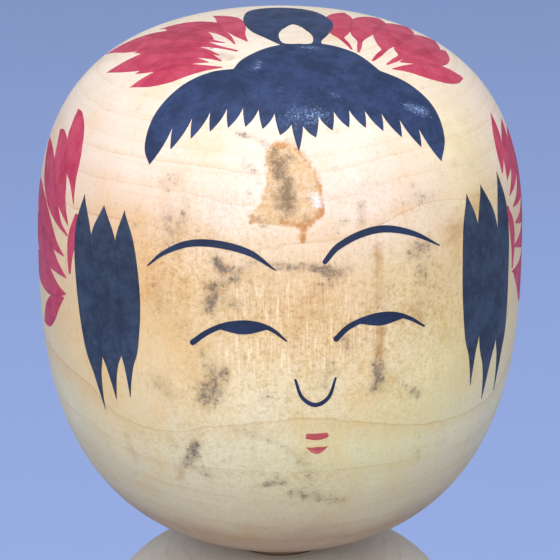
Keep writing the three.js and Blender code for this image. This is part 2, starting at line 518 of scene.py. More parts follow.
SOIL = [
    (0.55, 0.7, [(-19.5, 232.6), (-15, 232.3), (-11, 231.2)]),
    (0.35, 1.2, [(-17, 229), (-13, 227)]), (0.50, 0.7, [(-15.5, 225.4)]),
    (0.40, 1.5, [(-36, 225.8), (-33.5, 226.5)]), (0.45, 1.9, [(-34.5, 221.5), (-33, 218)]),
    (0.35, 1.2, [(-30.5, 223.5), (-30.5, 220.5)]), (0.50, 0.8, [(-43.5, 219.2)]),
    (0.40, 0.7, [(-40.5, 219.3)]), (1.00, 0.95, [(-22.4, 215.9), (-21.6, 215)]),
    (0.50, 0.6, [(-21, 214.8), (-16, 215.2), (-13.5, 216.5), (-10, 215.7)]),
    (0.70, 0.8, [(-9, 215.6), (-5, 215.4), (0, 215.2), (3, 214.6)]),
    (0.60, 1.3, [(1.5, 214.4), (6.5, 214.6)]), (0.45, 1, [(4, 212.8), (2, 212.3)]),
    (0.60, 1.2, [(-24, 212), (-20.5, 213), (-18, 213.8)]),
    (0.78, 1.5, [(-24, 209.4), (-23.2, 210.6)]), (0.68, 1.2, [(-18.2, 209.8)]),
    (0.35, 1.8, [(-36, 210.5), (-35.5, 208)]), (0.30, 1.2, [(-30, 206), (-28.5, 204)]),
    (0.40, 1.6, [(-26, 202), (-25, 200.5)]), (0.62, 2.1, [(-22.5, 198.5), (-24, 195.8)]),
    (0.50, 1.6, [(-26.5, 196.5), (-25, 194)]), (0.50, 1, [(-20.5, 199.5)]),
    (0.50, 1, [(-11.8, 195.8)]), (0.45, 2, [(-37, 196.8), (-34, 195)]),
    (0.30, 1.4, [(-14, 191.5)]), (0.82, 1.15, [(-28.6, 187.2), (-29, 185.5)]),
    (0.72, 1.1, [(-31, 184.2), (-32, 183.5)]), (0.48, 1.3, [(-27.5, 182.8), (-26.5, 182.2)]),
    (0.35, 1.5, [(-33.5, 186.5)]), (0.88, 0.7, [(-11.8, 181.1), (-10.8, 181.2)]),
    (0.88, 0.7, [(-8, 181.3), (-7.6, 181.5)]), (0.35, 1.4, [(-9.5, 182.5)]),
    (0.55, 1.3, [(-5, 179.8), (-2, 179), (1, 178.8)]), (0.48, 1.1, [(3, 178.2), (8, 177.3)]),
    (0.45, 1.6, [(-3.5, 186), (-2, 184)]), (0.35, 1.4, [(-1, 181.5)]),
    (0.42, 0.6, [(-19.5, 190.6), (-14, 189.6), (-9, 188.2), (-6, 187)]),
    (0.78, 1.4, [(14, 200), (14.3, 197.8)]), (0.55, 1.5, [(13.5, 196.2)]),
    (0.75, 0.8, [(23.6, 194.6), (24.8, 193.9)]), (0.40, 0.7, [(19, 196.5), (21.5, 195.3)]),
    (0.58, 1, [(5.8, 204.4), (6.5, 202.8)]), (0.40, 1, [(2.5, 202.5), (3, 200.8)]),
    (0.45, 1.2, [(2.8, 199.3), (1.5, 197.5)]), (0.60, 0.8, [(10.4, 223.5), (10.4, 221)]),
    (0.40, 0.9, [(7, 221.5), (4.5, 221)]), (0.58, 1.8, [(22.5, 216), (26.5, 216.6)]),
    (0.52, 1.4, [(25, 213.5), (24.8, 212)]), (0.35, 1.2, [(17.5, 216)]),
    (0.35, 1.5, [(29, 210.5)]), (0.45, 1, [(39, 226.4)]), (0.38, 0.9, [(45, 225.6)]),
    (0.30, 0.9, [(33.5, 225.8)]), (0.32, 2.2, [(24, 224), (29, 222.5)]),
    (0.30, 1.8, [(35.5, 184.5)]), (0.30, 1.2, [(-60, 176)]), (0.35, 1.6, [(118, 201)]),
    (0.40, 2, [(160, 215), (166, 212)]), (0.35, 2.4, [(-140, 222)]),
    (0.42, 1.4, [(-118, 190), (-122, 187)]), (0.36, 1.6, [(150, 184), (143, 182)]),
]
CROWN_SOIL = [
    (0.62, 1, [(-10.6, -13.3), (-9.5, -14.6)]), (0.45, 0.8, [(-11.6, -9.9)]),
    (0.40, 1.2, [(-12.5, -12.5)]), (0.30, 2, [(6, 20)]), (0.32, 1.5, [(-12, 17)]),
]
# The dried amber patch on the forehead, as an outline of (azimuth, height)
AMBER_OUTLINE = [
    (-12.3, 231), (-9.5, 231.8), (-5.5, 231.6), (-2, 230), (0.6, 227.8), (1.6, 225),
    (1.3, 222.8), (-0.5, 221.3), (-2.2, 221), (-2.6, 219.3), (-3.4, 218.7), (-4.2, 219.5),
    (-4.4, 221), (-8.5, 221.2), (-11.5, 220.9), (-15, 221.6), (-14.5, 223.2),
    (-12.8, 224.3), (-12, 226.5), (-11.4, 229)]
AMBER_FADE = 1.6       # mm over which the patch's edge fades before it is broken up
AMBER_RIM = [
    (0.90, 0.65, [(-10.5, 231.3), (-5.5, 231.5), (-2, 230), (0.4, 227.8), (1.3, 225.2)]),
    (0.95, 0.65, [(1.2, 224.2), (0.8, 222.6), (-1.8, 221.3), (-4.6, 221.2), (-7.5, 221.5)]),
    (0.90, 0.6, [(-2.9, 221), (-3.4, 219)]), (0.60, 0.9, [(-10.4, 230), (-10.8, 227.5)]),
    (0.60, 0.8, [(-14.5, 222.2), (-12.5, 221.2)]), (0.50, 0.8, [(-13, 224), (-11.4, 226)]),
]
DARK_CORE = [
    (0.90, 1.5, [(-8.9, 229.5), (-7.4, 227), (-6.4, 224.6)]), (0.75, 1, [(-10, 230.8)]),
    (0.60, 1.5, [(-8.5, 224.3), (-7, 223.2)]), (0.50, 0.8, [(-3, 222.2), (-2.7, 221.2)]),
    (0.50, 0.8, [(-14.5, 222.3), (-11.2, 221.3)]), (0.50, 1, [(-5.6, 229.8)]),
    (0.35, 0.5, [(-3.3, 220), (-3.3, 219.2)]), (0.30, 0.7, [(-1.5, 224.9), (3, 224.9)]),
    (0.45, 0.9, [(-11.5, 226.3)]),
]
BROWN = [
    (0.65, 0.9, [(13.8, 217.5), (13.6, 214)]), (0.45, 0.9, [(13.8, 212), (13.8, 208.5)]),
    (0.65, 1.1, [(14.2, 205.2), (14.2, 201.5)]), (0.50, 3, [(34, 217.5), (44, 220)]),
    (0.40, 2.3, [(26.5, 208.5), (24, 206.5)]), (0.35, 1.2, [(-48.5, 186.5), (-46.8, 182)]),
    (0.45, 1, [(-33.3, 182.2), (-34.7, 180.3)]), (0.30, 4, [(-3, 207), (-1, 212)]),
    (0.40, 0.5, [(25.5, 185.4), (27.5, 183.6), (28.5, 181.8)]), (0.22, 3.5, [(-27, 190)]),
    (0.35, 1.2, [(-8, 229.5), (-6, 232)]), (0.30, 2.5, [(130, 225), (140, 222)]),
    (0.35, 3, [(-160, 200), (-165, 196)]), (0.30, 1.5, [(172, 188), (176, 183)]),
]
PEACH = [(0.85, 9, [(-48, 205), (-42, 214)]), (0.65, 7, [(-33, 206), (-30, 197)]),
         (0.50, 6, [(-58, 222), (-48, 219)]), (0.45, 9, [(-110, 205)]),
         (0.70, 8, [(-62, 200), (-50, 190)]), (0.20, 5, [(36, 214)]),
         (0.50, 6, [(0, 211), (-10, 206)])]
OLIVE = [(0.80, 9, [(25, 192), (48, 202)]), (0.60, 7, [(0, 185), (15, 185)]),
         (1.00, 9, [(46, 219), (43, 228)]), (0.50, 6, [(20, 213), (30, 206)])]
SCRATCHED = [(0.95, 4.5, [(-13, 209), (0, 210), (8, 206)]), (0.60, 4, [(-18, 202), (0, 202)]),
             (0.50, 3, [(-5, 213.5), (4, 213)])]
WORN = [(0.95, 10, [(-30, 214), (-5, 205), (25, 208)]), (0.60, 6, [(-25, 196), (20, 197)]),
        (0.50, 7, [(-32, 186), (0, 182)]), (0.35, 7, [(-10, 225), (12, 223)])]
INK_DUST_CLUSTERS = [
    (0.80, 0.9, [(-6.2, -18.6), (-5.8, -17.4)]), (0.75, 0.9, [(1.2, -13.6), (4.4, -13.8)]),
    (0.65, 0.8, [(3.6, -25.2), (4.6, -25.8)]), (0.95, 1.3, [(16.2, -25.4), (18.4, -25)]),
    (0.60, 2.2, [(-3.5, -29.2), (1.5, -29.6)]), (0.35, 2, [(-4.3, -23.8)]),
    (0.30, 2, [(-0.5, 3)]),
]
FLAKED = [(0.95, 0.9, [(-0.4, 225), (0.3, 223.9)]), (0.55, 0.7, [(-2.4, 225.6)]),
          (0.40, 1.6, [(14.5, 217.5), (17, 220.5)]), (0.40, 1.2, [(-17, 200), (-16, 198.5)])]
CROWN_FLAKED = [(0.85, 1.2, [(-10.2, -9.2), (-11, -11)]), (0.75, 0.9, [(-10, -13.6)]),
                (0.40, 3, [(-17, -6), (-20, -8)])]


SIDE_SMEARS = {"soil": SOIL, "flaked": FLAKED, "rim": AMBER_RIM, "core": DARK_CORE,
               "brown": BROWN, "peach": PEACH, "olive": OLIVE, "scratched": SCRATCHED,
               "worn": WORN}
CROWN_SMEARS = {"soil": CROWN_SOIL, "flaked": CROWN_FLAKED}


def amber_patch(place):
    """1 inside the amber patch and 0 outside it, fading over its edge."""
    x, y, z = place.T
    chart = np.stack([np.arctan2(x, -y) * HEAD_RADIUS, z], 1)
    outline = smooth(on_side(AMBER_OUTLINE), loop=True)
    edge = np.full(len(chart), np.inf)
    for point in outline:
        edge = np.minimum(edge, np.hypot(*(chart - point).T))
    signed = np.where(inside(chart, outline), edge, -edge)
    return np.clip(0.5 + signed / AMBER_FADE, 0, 1)


def vertex_places(mesh):
    values = np.empty(len(mesh.vertices) * 3, np.float32)
    mesh.vertices.foreach_get("co", values)
    return values.reshape(-1, 3).astype(float) / MM


# ---- Materials -----------------------------------------------------------------------

class Looks:
    """A new material's node tree, with a short call for each kind of node in it."""

    def __init__(self, name, slot_colour):
        self.material = bpy.data.materials.new(name)
        self.material.use_nodes = True
        self.material.diffuse_color = (*slot_colour, 1)
        self.tree = self.material.node_tree
        self.shader = self.tree.nodes["Principled BSDF"]
        self.noises = {}

    def feed(self, value, socket):
        """Links a node's output to an input, or sets the input to a constant."""
        if isinstance(value, bpy.types.NodeSocket):
            self.tree.links.new(value, socket)
        else:
            socket.default_value = (*value, 1) if socket.type == "RGBA" else value

    def add(self, kind, inputs=None, **settings):
        """A node with its settings, and its inputs linked or set."""
        node = self.tree.nodes.new(kind)
        for key, value in settings.items():
            setattr(node, key, value)
        for key, value in (inputs or {}).items():
            self.feed(value, node.inputs[key])
        return node

    def maths(self, operation, a, b=0.0):
        return self.add("ShaderNodeMath", {0: a, 1: b}, operation=operation).outputs[0]

    def times(self, a, b):
        return self.maths("MULTIPLY", a, b)

    def plus(self, a, b):
        return self.maths("ADD", a, b)

    def swing(self, noise, amount):
        """Noise as a shift to either side of nothing."""
        return self.times(self.maths("SUBTRACT", noise, 0.5), amount)

    def steps(self, value, low, high, to_low=0.0, to_high=1.0):
        """Goes smoothly from one value to another as the input goes from low to high."""
        node = self.add("ShaderNodeMapRange", interpolation_type="SMOOTHSTEP",
                        inputs={"Value": value, "From Min": low, "From Max": high,
                                "To Min": to_low, "To Max": to_high})
        return node.outputs["Result"]

    def mixed(self, share, a, b, blend="MIX"):
        """Colour a with a share of colour b. The node's colour sockets go by number."""
        node = self.add("ShaderNodeMix", data_type="RGBA", blend_type=blend)
        for index, value in ((0, share), (6, a), (7, b)):
            self.feed(value, node.inputs[index])
        return node.outputs[2]

    def tinted(self, share, colour, tint):
        return self.mixed(share, colour, tint, "MULTIPLY")

    def ramp(self, value, stops):
        """A colour ramp with (position, colour) stops."""
        node = self.add("ShaderNodeValToRGB", {"Fac": value})
        elements = node.color_ramp.elements
        for element, (position, colour) in zip(elements, (stops[0], stops[-1])):
            element.position = position
            element.color = (*colour, 1)
        for position, colour in stops[1:-1]:
            elements.new(position).color = (*colour, 1)
        return node.outputs["Color"]

    @cached_property
    def place(self):
        """Where a point is, in millimetres."""
        coordinates = self.add("ShaderNodeTexCoord").outputs["Object"]
        return self.add("ShaderNodeVectorMath", {0: coordinates, "Scale": 1 / MM},
                        operation="SCALE").outputs[0]

    def noise(self, per_mm, detail=2.0, roughness=0.5):
        """Noise of a fineness in waves per mm, the same each way or one for each axis."""
        key = (per_mm, detail, roughness)
        if key not in self.noises:
            place = self.place
            if isinstance(per_mm, tuple):
                place = self.add("ShaderNodeVectorMath", {0: place, 1: per_mm},
                                 operation="MULTIPLY").outputs[0]
                per_mm = 1.0
            node = self.add("ShaderNodeTexNoise", {"Vector": place, "Scale": per_mm,
                                                   "Detail": detail, "Roughness": roughness})
            self.noises[key] = node.outputs["Fac"]
        return self.noises[key]

    def attribute(self, name):
        return self.add("ShaderNodeAttribute", attribute_name=name).outputs["Fac"]

    def broken(self, value, grit, amount, low, high, most=1.0):
        """A soft attribute broken up by noise and sharpened into patches."""
        return self.steps(self.plus(value, self.swing(grit, amount)), low, high, 0.0, most)

    def finish(self, colour, height, roughness, coat):
        """Links the colour, a patchy gloss and the bump, and sets the thin wax coat."""
        gloss = self.steps(self.noise(*GLOSS_PATCHES), 0.3, 0.7, *roughness)
        bump = self.add("ShaderNodeBump", {"Height": height, "Distance": BUMP_HEIGHT,
                                           "Strength": BUMP_STRENGTH}).outputs["Normal"]
        for name, value in (("Roughness", gloss), ("Base Color", colour), ("Normal", bump),
                            ("Specular IOR Level", SHEEN), ("Coat Weight", coat),
                            ("Coat Roughness", COAT_ROUGHNESS)):
            self.feed(value, self.shader.inputs[name])
        return self.material


BUMP_HEIGHT = 0.06 * MM
BUMP_STRENGTH = 0.6
SHEEN = 0.30
COAT_ROUGHNESS = 0.32
WOOD_GLOSS, WOOD_COAT = (0.46, 0.66), 0.06
INK_GLOSS, INK_COAT = (0.48, 0.68), 0.0

# Noises as (waves per mm, detail, roughness)
CLOUDS = ((0.10, 0.10, 0.07), 4, 0.62)
FIBRES = ((3.4, 3.4, 0.14), 4, 0.65)
DYE_FIBRES = ((2.8, 2.8, 0.14), 4, 0.65)
LATHE_LINES = ((0.03, 0.03, 2.4), 3, 0.6)
SCRATCHES = ((3.4, 3.4, 0.20), 3, 0.6)
PORES = (2.6, 4, 0.75)
BROAD = (0.06, 2)
RING_WAVER = (0.45, 2)
COARSE = (0.45, 5, 0.7)
CLUMPS = (0.9, 7, 0.82)
GRIT = (2.8, 5, 0.80)
WORN_PATCHES = (0.30, 7, 0.72)
SAND = (1.3, 7, 0.88)
AMBER_DEPTHS = (1.1, 7, 0.85)
SPECKS = (1.25, 3, 0.6)
GLOSS_PATCHES = (0.4, 5, 0.7)
INK_CLOUDS = (0.22, 9, 0.82)
INK_GRIT = (2.2, 6, 0.80)
INK_AREAS = (0.16, 3)
DUST_GRAINS = (3.0, 3, 0.6)
DYE_POOLS = (0.28, 5, 0.7)
DYE_EDGES = (1.4, 4, 0.7)
DYE_WEAR = (1.2, 6, 0.8)

PALE_TINT = (1.12, 1.14, 1.18)
WARM_TINT = (1.0, 0.89, 0.74)
LATE_TINT = (0.93, 0.82, 0.68)
RING_TINT = (0.70, 0.50, 0.32)
FIBRE_TINT = (0.78, 0.66, 0.50)
SAND_TINT = (0.76, 0.63, 0.45)
PATCH_TINT = (0.90, 0.85, 0.72)
SCRATCH_TINT = (1.30, 1.40, 1.60)
PEACH_TINT = (1.0, 0.84, 0.64)
OLIVE_TINT = (0.93, 0.93, 0.70)
BROWN_TINT = (0.62, 0.42, 0.20)
AMBER_TINT = (0.80, 0.63, 0.38)
RIM_TINT = (0.80, 0.52, 0.30)
CORE_COLOUR = (0.16, 0.095, 0.045)
SOIL_HAZE = (0.68, 0.63, 0.58)
SOIL_COLOUR = (0.080, 0.066, 0.055)
FLAKE_COLOUR = (0.80, 0.74, 0.76)

# The wood's colour by its height, as a share of the doll's, with painted shade low on the head's
# chin
HEAD_TONE_AND_SHADE_BY_HEIGHT = [
    # the darkest browns, at the bottom of the chin towards the neck, are painted shade under the
    # head
    (0.655, (0.17, 0.100, 0.055)), (0.683, (0.34, 0.195, 0.105)),
    (0.692, (0.40, 0.270, 0.150)), (0.698, (0.38, 0.240, 0.125)),
    (0.718, (0.53, 0.415, 0.225)), (0.77, (0.64, 0.55, 0.34)), (0.82, (0.68, 0.54, 0.32)),
    (0.88, (0.65, 0.47, 0.27)), (0.93, (0.71, 0.56, 0.445)), (1.0, (0.76, 0.63, 0.49)),
]
BODY_BY_HEIGHT = [
    (0.0, (0.46, 0.33, 0.18)), (0.04, (0.62, 0.47, 0.28)), (0.30, (0.69, 0.54, 0.33)),
    (0.54, (0.67, 0.53, 0.34)), (0.60, (0.60, 0.51, 0.39)), (0.65, (0.55, 0.50, 0.43)),
]
HEIGHT_WANDER = 0.03     # how far noise shifts those heights
RING_WANDER = 0.09       # how far noise shifts a growth ring, as a share of its width
THIN_LINE = 0.5          # strength of a ring's thin dark edge

# Tones are laid on in order: (attribute that limits it, noise, the noise's value where the
# tone starts and where it is full, its strength, tint).
BROAD_TONES = [
    (None, CLOUDS, 0.50, 0.72, 0.75, WARM_TINT),
    (None, CLOUDS, 0.50, 0.30, 0.60, PALE_TINT),
]
FINE_TONES = [
    (None, FIBRES, 0.50, 0.78, 0.40, FIBRE_TINT),
    (None, LATHE_LINES, 0.52, 0.80, 0.22, FIBRE_TINT),
    (None, PORES, 0.50, 0.80, 0.45, FIBRE_TINT),
    ("worn", WORN_PATCHES, 0.47, 0.62, 1.0, PATCH_TINT),
    ("worn", SAND, 0.48, 0.62, 1.0, SAND_TINT),
    ("worn", SAND, 0.48, 0.36, 1.0, PALE_TINT),
    ("scratched", SCRATCHES, 0.46, 0.34, 0.6, FIBRE_TINT),
    ("scratched", SCRATCHES, 0.55, 0.66, 1.0, SCRATCH_TINT),
]
WOOD_BUMPS = [(FIBRES, 0.5), (LATHE_LINES, 0.4), (PORES, 0.4)]    # (noise, share)

# Stains are laid on in order: (attribute, noise that breaks it up, how far, the value where
# it starts and where it is full, its strength, how it is laid on, colour).
STAINS = [
    ("brown", COARSE, 0.8, 0.10, 0.90, 1.00, "MULTIPLY", BROWN_TINT),
    ("amber", COARSE, 1.5, 0.36, 0.66, 1.00, "MULTIPLY", AMBER_TINT),
    ("rim", COARSE, 1.3, 0.35, 0.95, 0.90, "MULTIPLY", RIM_TINT),
    ("core", CLUMPS, 3.0, 0.15, 1.05, 0.90, "MIX", CORE_COLOUR),
    ("flaked", GRIT, 2.2, 0.35, 1.00, 0.80, "MIX", FLAKE_COLOUR),
    ("soil", COARSE, 0.5, 0.05, 0.85, 0.85, "MULTIPLY", SOIL_HAZE),
    ("soil", CLUMPS, 3.4, 0.42, 1.05, 0.76, "MIX", SOIL_COLOUR),
]


def growth_lines(looks):
    """The soft late wood of each growth ring, and the thin dark edge that ends it."""
    count = looks.plus(looks.attribute("growth"),
                       looks.swing(looks.noise(*RING_WAVER), RING_WANDER))
    phase = looks.maths("FRACT", count)
    ring = looks.add("ShaderNodeTexWhiteNoise", {"W": looks.maths("FLOOR", count)},
                     noise_dimensions="1D").outputs["Value"]
    strength = looks.times(looks.steps(ring, 0, 1, 0.45, 1.0),
                           looks.steps(looks.noise(*BROAD), 0.3, 0.65, 0.35, 1.0))
    late = looks.times(looks.steps(phase, 0.55, 0.96, 0.0, 0.50),
                       looks.steps(phase, 0.97, 1.0, 1.0, 0.0))
    thin = looks.times(looks.steps(phase, 0.935, 0.975, 0.0, 0.75),
                       looks.steps(phase, 0.980, 0.995, 1.0, 0.0))
    return looks.times(late, strength), looks.times(thin, strength)


def toned(looks, colour, tones):
    for limit, noise, start, full, strength, tint in tones:
        share = looks.steps(looks.noise(*noise), start, full, 0.0, strength)
        if limit:
            share = looks.times(looks.attribute(limit), share)
        colour = looks.tinted(share, colour, tint)
    return colour


def wood_looks(looks, by_height):
    """Colour and height of the wood: its tone by height (on the head with painted shade under
    the chin), rings, fibres, turning lines, mottling and broad tints.
    """
    z = looks.add("ShaderNodeSeparateXYZ", {0: looks.place}).outputs["Z"]
    level = looks.plus(looks.maths("DIVIDE", z, CROWN_Z),
                       looks.swing(looks.noise(*BROAD), HEIGHT_WANDER))
    colour = looks.ramp(level, by_height)
    for name, tint in (("peach", PEACH_TINT), ("olive", OLIVE_TINT)):
        colour = looks.tinted(looks.attribute(name), colour, tint)
    colour = toned(looks, colour, BROAD_TONES)
    late, thin = growth_lines(looks)
    colour = looks.tinted(late, colour, LATE_TINT)
    colour = looks.tinted(looks.times(thin, THIN_LINE), colour, RING_TINT)
    colour = toned(looks, colour, FINE_TONES)
    height = 0.0
    for noise, share in WOOD_BUMPS:
        height = looks.plus(height, looks.times(looks.noise(*noise), share))
    return colour, height


def wood_material(name, by_height):
    """Waxed pale wood, stained where the mesh's attributes say."""
    looks = Looks(name, by_height[len(by_height) // 2][1])
    colour, height = wood_looks(looks, by_height)
    for stain, noise, amount, start, full, strength, blend, stain_colour in STAINS:
        share = looks.broken(looks.attribute(stain), looks.noise(*noise), amount, start, full,
                             strength)
        if stain == "amber":
            depth = looks.steps(looks.noise(*AMBER_DEPTHS), 0.34, 0.60, 0.50, 1.0)
            share = looks.times(share, depth)
        colour = looks.mixed(share, colour, stain_colour, blend)
    specks = looks.steps(looks.noise(*SPECKS), 0.71, 0.78, 0, 0.4)
    colour = looks.mixed(specks, colour, SOIL_COLOUR)
    return looks.finish(colour, height, WOOD_GLOSS, WOOD_COAT)


# The inks' navy tint is partly a painted reflection of blue sky light on black ink
INK_DEEP = (0.006, 0.012, 0.032)
INK_COLOUR = (0.011, 0.021, 0.060)
INK_WORN = (0.025, 0.044, 0.116)
SIDE_INK_COLOUR = (0.012, 0.019, 0.040)
SIDE_INK_WORN = (0.033, 0.048, 0.080)
INK_SCUFF = (0.075, 0.115, 0.23)
INK_DUST = (0.24, 0.31, 0.47)


def ink_material(name, full, worn):
    """Black ink that has soaked in, tinted navy partly as a painted reflection of blue sky
    light, with scuffs, dust and the wood's fibres.
    """
    looks = Looks(name, full)
    colour = looks.mixed(looks.steps(looks.noise(*INK_CLOUDS), 0.40, 0.62), full, worn)
    layers = looks.steps(looks.attribute("coats"), 1, 2.5, 0, 0.35)
    colour = looks.mixed(layers, colour, INK_DEEP)
    fibre = looks.noise(*FIBRES)
    colour = looks.mixed(looks.steps(fibre, 0.5, 0.78, 0, 0.45), colour, worn)
    where = looks.plus(looks.steps(looks.noise(*INK_AREAS), 0.38, 0.66, 0.08, 0.42),
                       looks.attribute("dust"))
    scuff = looks.broken(where, looks.noise(*INK_GRIT), 2.4, 0.62, 1.10, 0.55)
    colour = looks.mixed(scuff, colour, INK_SCUFF)
    dust = looks.broken(where, looks.noise(*DUST_GRAINS), 3.2, 1.02, 1.30, 0.65)
    colour = looks.mixed(dust, colour, INK_DUST)
    return looks.finish(colour, fibre, INK_GLOSS, INK_COAT)


def dye_material(name, by_height, thin, full, deep):
    """Dye that the wood shows through: paler where it is thin, deeper where strokes cross."""
    looks = Looks(name, full)
    wood, height = wood_looks(looks, by_height)
    colour = looks.mixed(looks.steps(looks.noise(*DYE_POOLS), 0.32, 0.68), thin, full)
    layers = looks.broken(looks.attribute("coats"), looks.noise(*DYE_EDGES), 0.8, 1.1, 2.6)
    colour = looks.mixed(looks.times(layers, 0.5), colour, deep)
    fibre = looks.noise(*DYE_FIBRES)
    colour = looks.mixed(looks.steps(fibre, 0.5, 0.8, 0, 0.45), colour, deep)
    colour = looks.mixed(0.30, colour, looks.tinted(1.0, wood, colour))
    colour = looks.mixed(looks.steps(looks.noise(*DYE_WEAR), 0.60, 0.78, 0, 0.35), colour, wood)
    return looks.finish(colour, height, WOOD_GLOSS, WOOD_COAT)


RED_DYE = [(0.56, 0.070, 0.130), (0.44, 0.024, 0.070), (0.27, 0.009, 0.034)]
LIP_DYE = [(0.55, 0.13, 0.12), (0.42, 0.050, 0.055), (0.33, 0.030, 0.035)]
GREEN_DYE = [(0.075, 0.22, 0.12), (0.035, 0.14, 0.080), (0.012, 0.06, 0.035)]

HEAD_WOOD = wood_material("head_wood", HEAD_TONE_AND_SHADE_BY_HEIGHT)
BODY_WOOD = wood_material("body_wood", BODY_BY_HEIGHT)
HAIR_INK = ink_material("hair_ink", INK_COLOUR, INK_WORN)
SIDE_INK = ink_material("sidelock_ink", SIDE_INK_COLOUR, SIDE_INK_WORN)
FACE_INK = ink_material("face_ink", INK_DEEP, INK_COLOUR)
HEAD_RED = dye_material("head_red_dye", HEAD_TONE_AND_SHADE_BY_HEIGHT, *RED_DYE)
LIP_RED = dye_material("lip_red_dye", HEAD_TONE_AND_SHADE_BY_HEIGHT, *LIP_DYE)
BODY_RED = dye_material("body_red_dye", BODY_BY_HEIGHT, *RED_DYE)
BODY_GREEN = dye_material("body_green_dye", BODY_BY_HEIGHT, *GREEN_DYE)


# ---- The two turned pieces -----------------------------------------------------------

def make_head():
    head = turned_piece("head_turned", head_outline())
    place = vertex_places(head.data)
    for name, smears in SIDE_SMEARS.items():
        clear = 1 - smeared(place, smears)
        if name in CROWN_SMEARS:
            clear *= 1 - smeared(place, CROWN_SMEARS[name], on_crown)
        set_attribute(head.data, name, 1 - clear)
    set_attribute(head.data, "amber", amber_patch(place))
    set_attribute(head.data, "growth", growth(place, GROWTH_TRACES))
    head.data.materials.append(HEAD_WOOD)
    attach(head, "head")
    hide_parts("head")


def make_body():
    body = turned_piece("body_turned", body_outline())
    set_attribute(body.data, "growth", growth(vertex_places(body.data), []))
    body.data.materials.append(BODY_WOOD)
    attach(body, "body")
    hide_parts("body")


# ---- Hair, ribbons and face ----------------------------------------------------------

INK_LIFT = 0.06
DYE_LIFT = 0.035


def head_film(name, outlines, chart, paint, **more):
    inky = paint in (HAIR_INK, SIDE_INK, FACE_INK)
    slot, lift = ("black_ink", INK_LIFT) if inky else ("red_ink", DYE_LIFT)
    return film(name, outlines, chart, HEAD_SKIN, "head", paint, slot, lift, **more)


def plan(points):
    """(azimuth in degrees, distance from the crown's centre) points in plan."""
    return [(s * math.sin(math.radians(a)), -s * math.cos(math.radians(a)))
            for a, s in points]


# The forelock's fringe. Its teeth stand evenly round the head, and reach furthest at the
# middle tooth and at both ends. Places are (azimuth, distance from the crown's centre).
FRINGE_TEETH = 17
FRINGE_START = -42.0
FRINGE_PITCH = 4.8
LONGEST_TOOTH = 8        # the teeth sweep out to each side from the longest one
REACH_LEFT = 30.3
REACH_RIGHT = 30.8
REACH_AT_MIDDLE = 4.2    # how much further the longest tooth reaches
REACH_AT_ENDS = 0.016    # growth with the cube of the teeth counted from the longest
NOTCH_DEPTH = 2.9
NOTCH_DEEPER = 0.0012    # growth with the square of the azimuth
NOTCH_LEAN = 0.8         # degrees that a notch's root leans to the longest tooth


def fringe_tip(k):
    away = k - LONGEST_TOOTH
    reach = REACH_LEFT if away < 0 else REACH_RIGHT
    reach += REACH_AT_ENDS * abs(away) ** 3 + REACH_AT_MIDDLE * math.exp(-abs(away) / 1.5)
    return FRINGE_START + FRINGE_PITCH * k, reach


def fringe_root(k):
    """The root of the notch between a tooth and the next one."""
    (azimuth, reach), (next_azimuth, next_reach) = fringe_tip(k), fringe_tip(k + 1)
    middle = (azimuth + next_azimuth) / 2
    depth = NOTCH_DEPTH + NOTCH_DEEPER * middle ** 2
    lean = NOTCH_LEAN if k < LONGEST_TOOTH else -NOTCH_LEAN
    return middle + lean, (reach + next_reach) / 2 - depth


# The forelock's upper edge, in plan: three lobes from the first tooth to the last one
FORELOCK_LOBES = [
    [(-25.5, -25.5), (-22.5, -21.5), (-17.5, -18.5), (-13, -17.5), (-9.5, -18)],
    [(-9.5, -18), (-7.5, -15.5), (-2.5, -12.5), (3.5, -12), (8.5, -14.5), (12, -19)],
    [(12, -19), (16.5, -20.5), (20.5, -23.5), (22.5, -28)],
]


def forelock_outline():
    tips = plan([fringe_tip(k) for k in range(FRINGE_TEETH)])
    roots = plan([fringe_root(k) for k in range(FRINGE_TEETH - 1)])
    left_lobe, middle_lobe, right_lobe = FORELOCK_LOBES
    lobes = [[tips[0], *left_lobe], middle_lobe, [*right_lobe, tips[-1]]]
    outline = [smooth(lobe)[:-1] for lobe in lobes]
    for k in range(len(roots) - 1, -1, -1):
        long_side, short_side = (0.08, 0.03) if k >= LONGEST_TOOTH else (0.03, 0.08)
        outline.append(bowed(tips[k + 1], roots[k], long_side))
        outline.append(bowed(roots[k], tips[k], short_side))
    return np.vstack(outline)


TOPKNOT = [(-5, 3.5), (-3.5, 8), (-0.5, 10), (3, 9.5), (6, 6.5), (7.5, 1), (7.5, -3.5),
           (6, -8), (4.5, -11), (4, -13), (0.5, -13.5), (-1.5, -12.5), (-3.5, -9),
           (-5, -5.5), (-5.5, -1)]
TOPKNOT_HOLE = [(1.5, -2.5), (0, -4.5), (-1, -6.5), (-1.5, -9), (-1.2, -11.7), (1, -12.2),
                (2.9, -12), (3.5, -9), (3, -6), (2.5, -4)]


def make_hair():
    forelock = head_film("hair_forelock", [forelock_outline(), smooth(TOPKNOT, loop=True)],
                         crown_chart, HAIR_INK, holes=[smooth(TOPKNOT_HOLE, loop=True)])
    dust = smeared(vertex_places(forelock.data), INK_DUST_CLUSTERS, on_crown)
    set_attribute(forelock.data, "dust", dust)
    for name, locks in (("left", SIDELOCK_LEFT), ("right", SIDELOCK_RIGHT)):
        side_strokes("hair_sidelock_" + name, [sidelock_run(*lock) for lock in locks], SIDE_INK)


# A sidelock's strokes: azimuth at the top, in the middle and at the tail, height of the top
# and of the tail, and widest half-width in mm
SIDELOCK_LEFT = [(-60.5, -58, -54, 221.5, 189.5, 2.4), (-53, -51.5, -49.5, 221, 192, 3.2),
                 (-46.5, -44.5, -45, 221, 193, 2.2)]
SIDELOCK_RIGHT = [(40.5, 40.5, 42, 222, 192.5, 2.2), (46.5, 48, 48.5, 222.5, 189, 3.1),
                  (55.5, 54.5, 55, 223, 189, 2.2)]
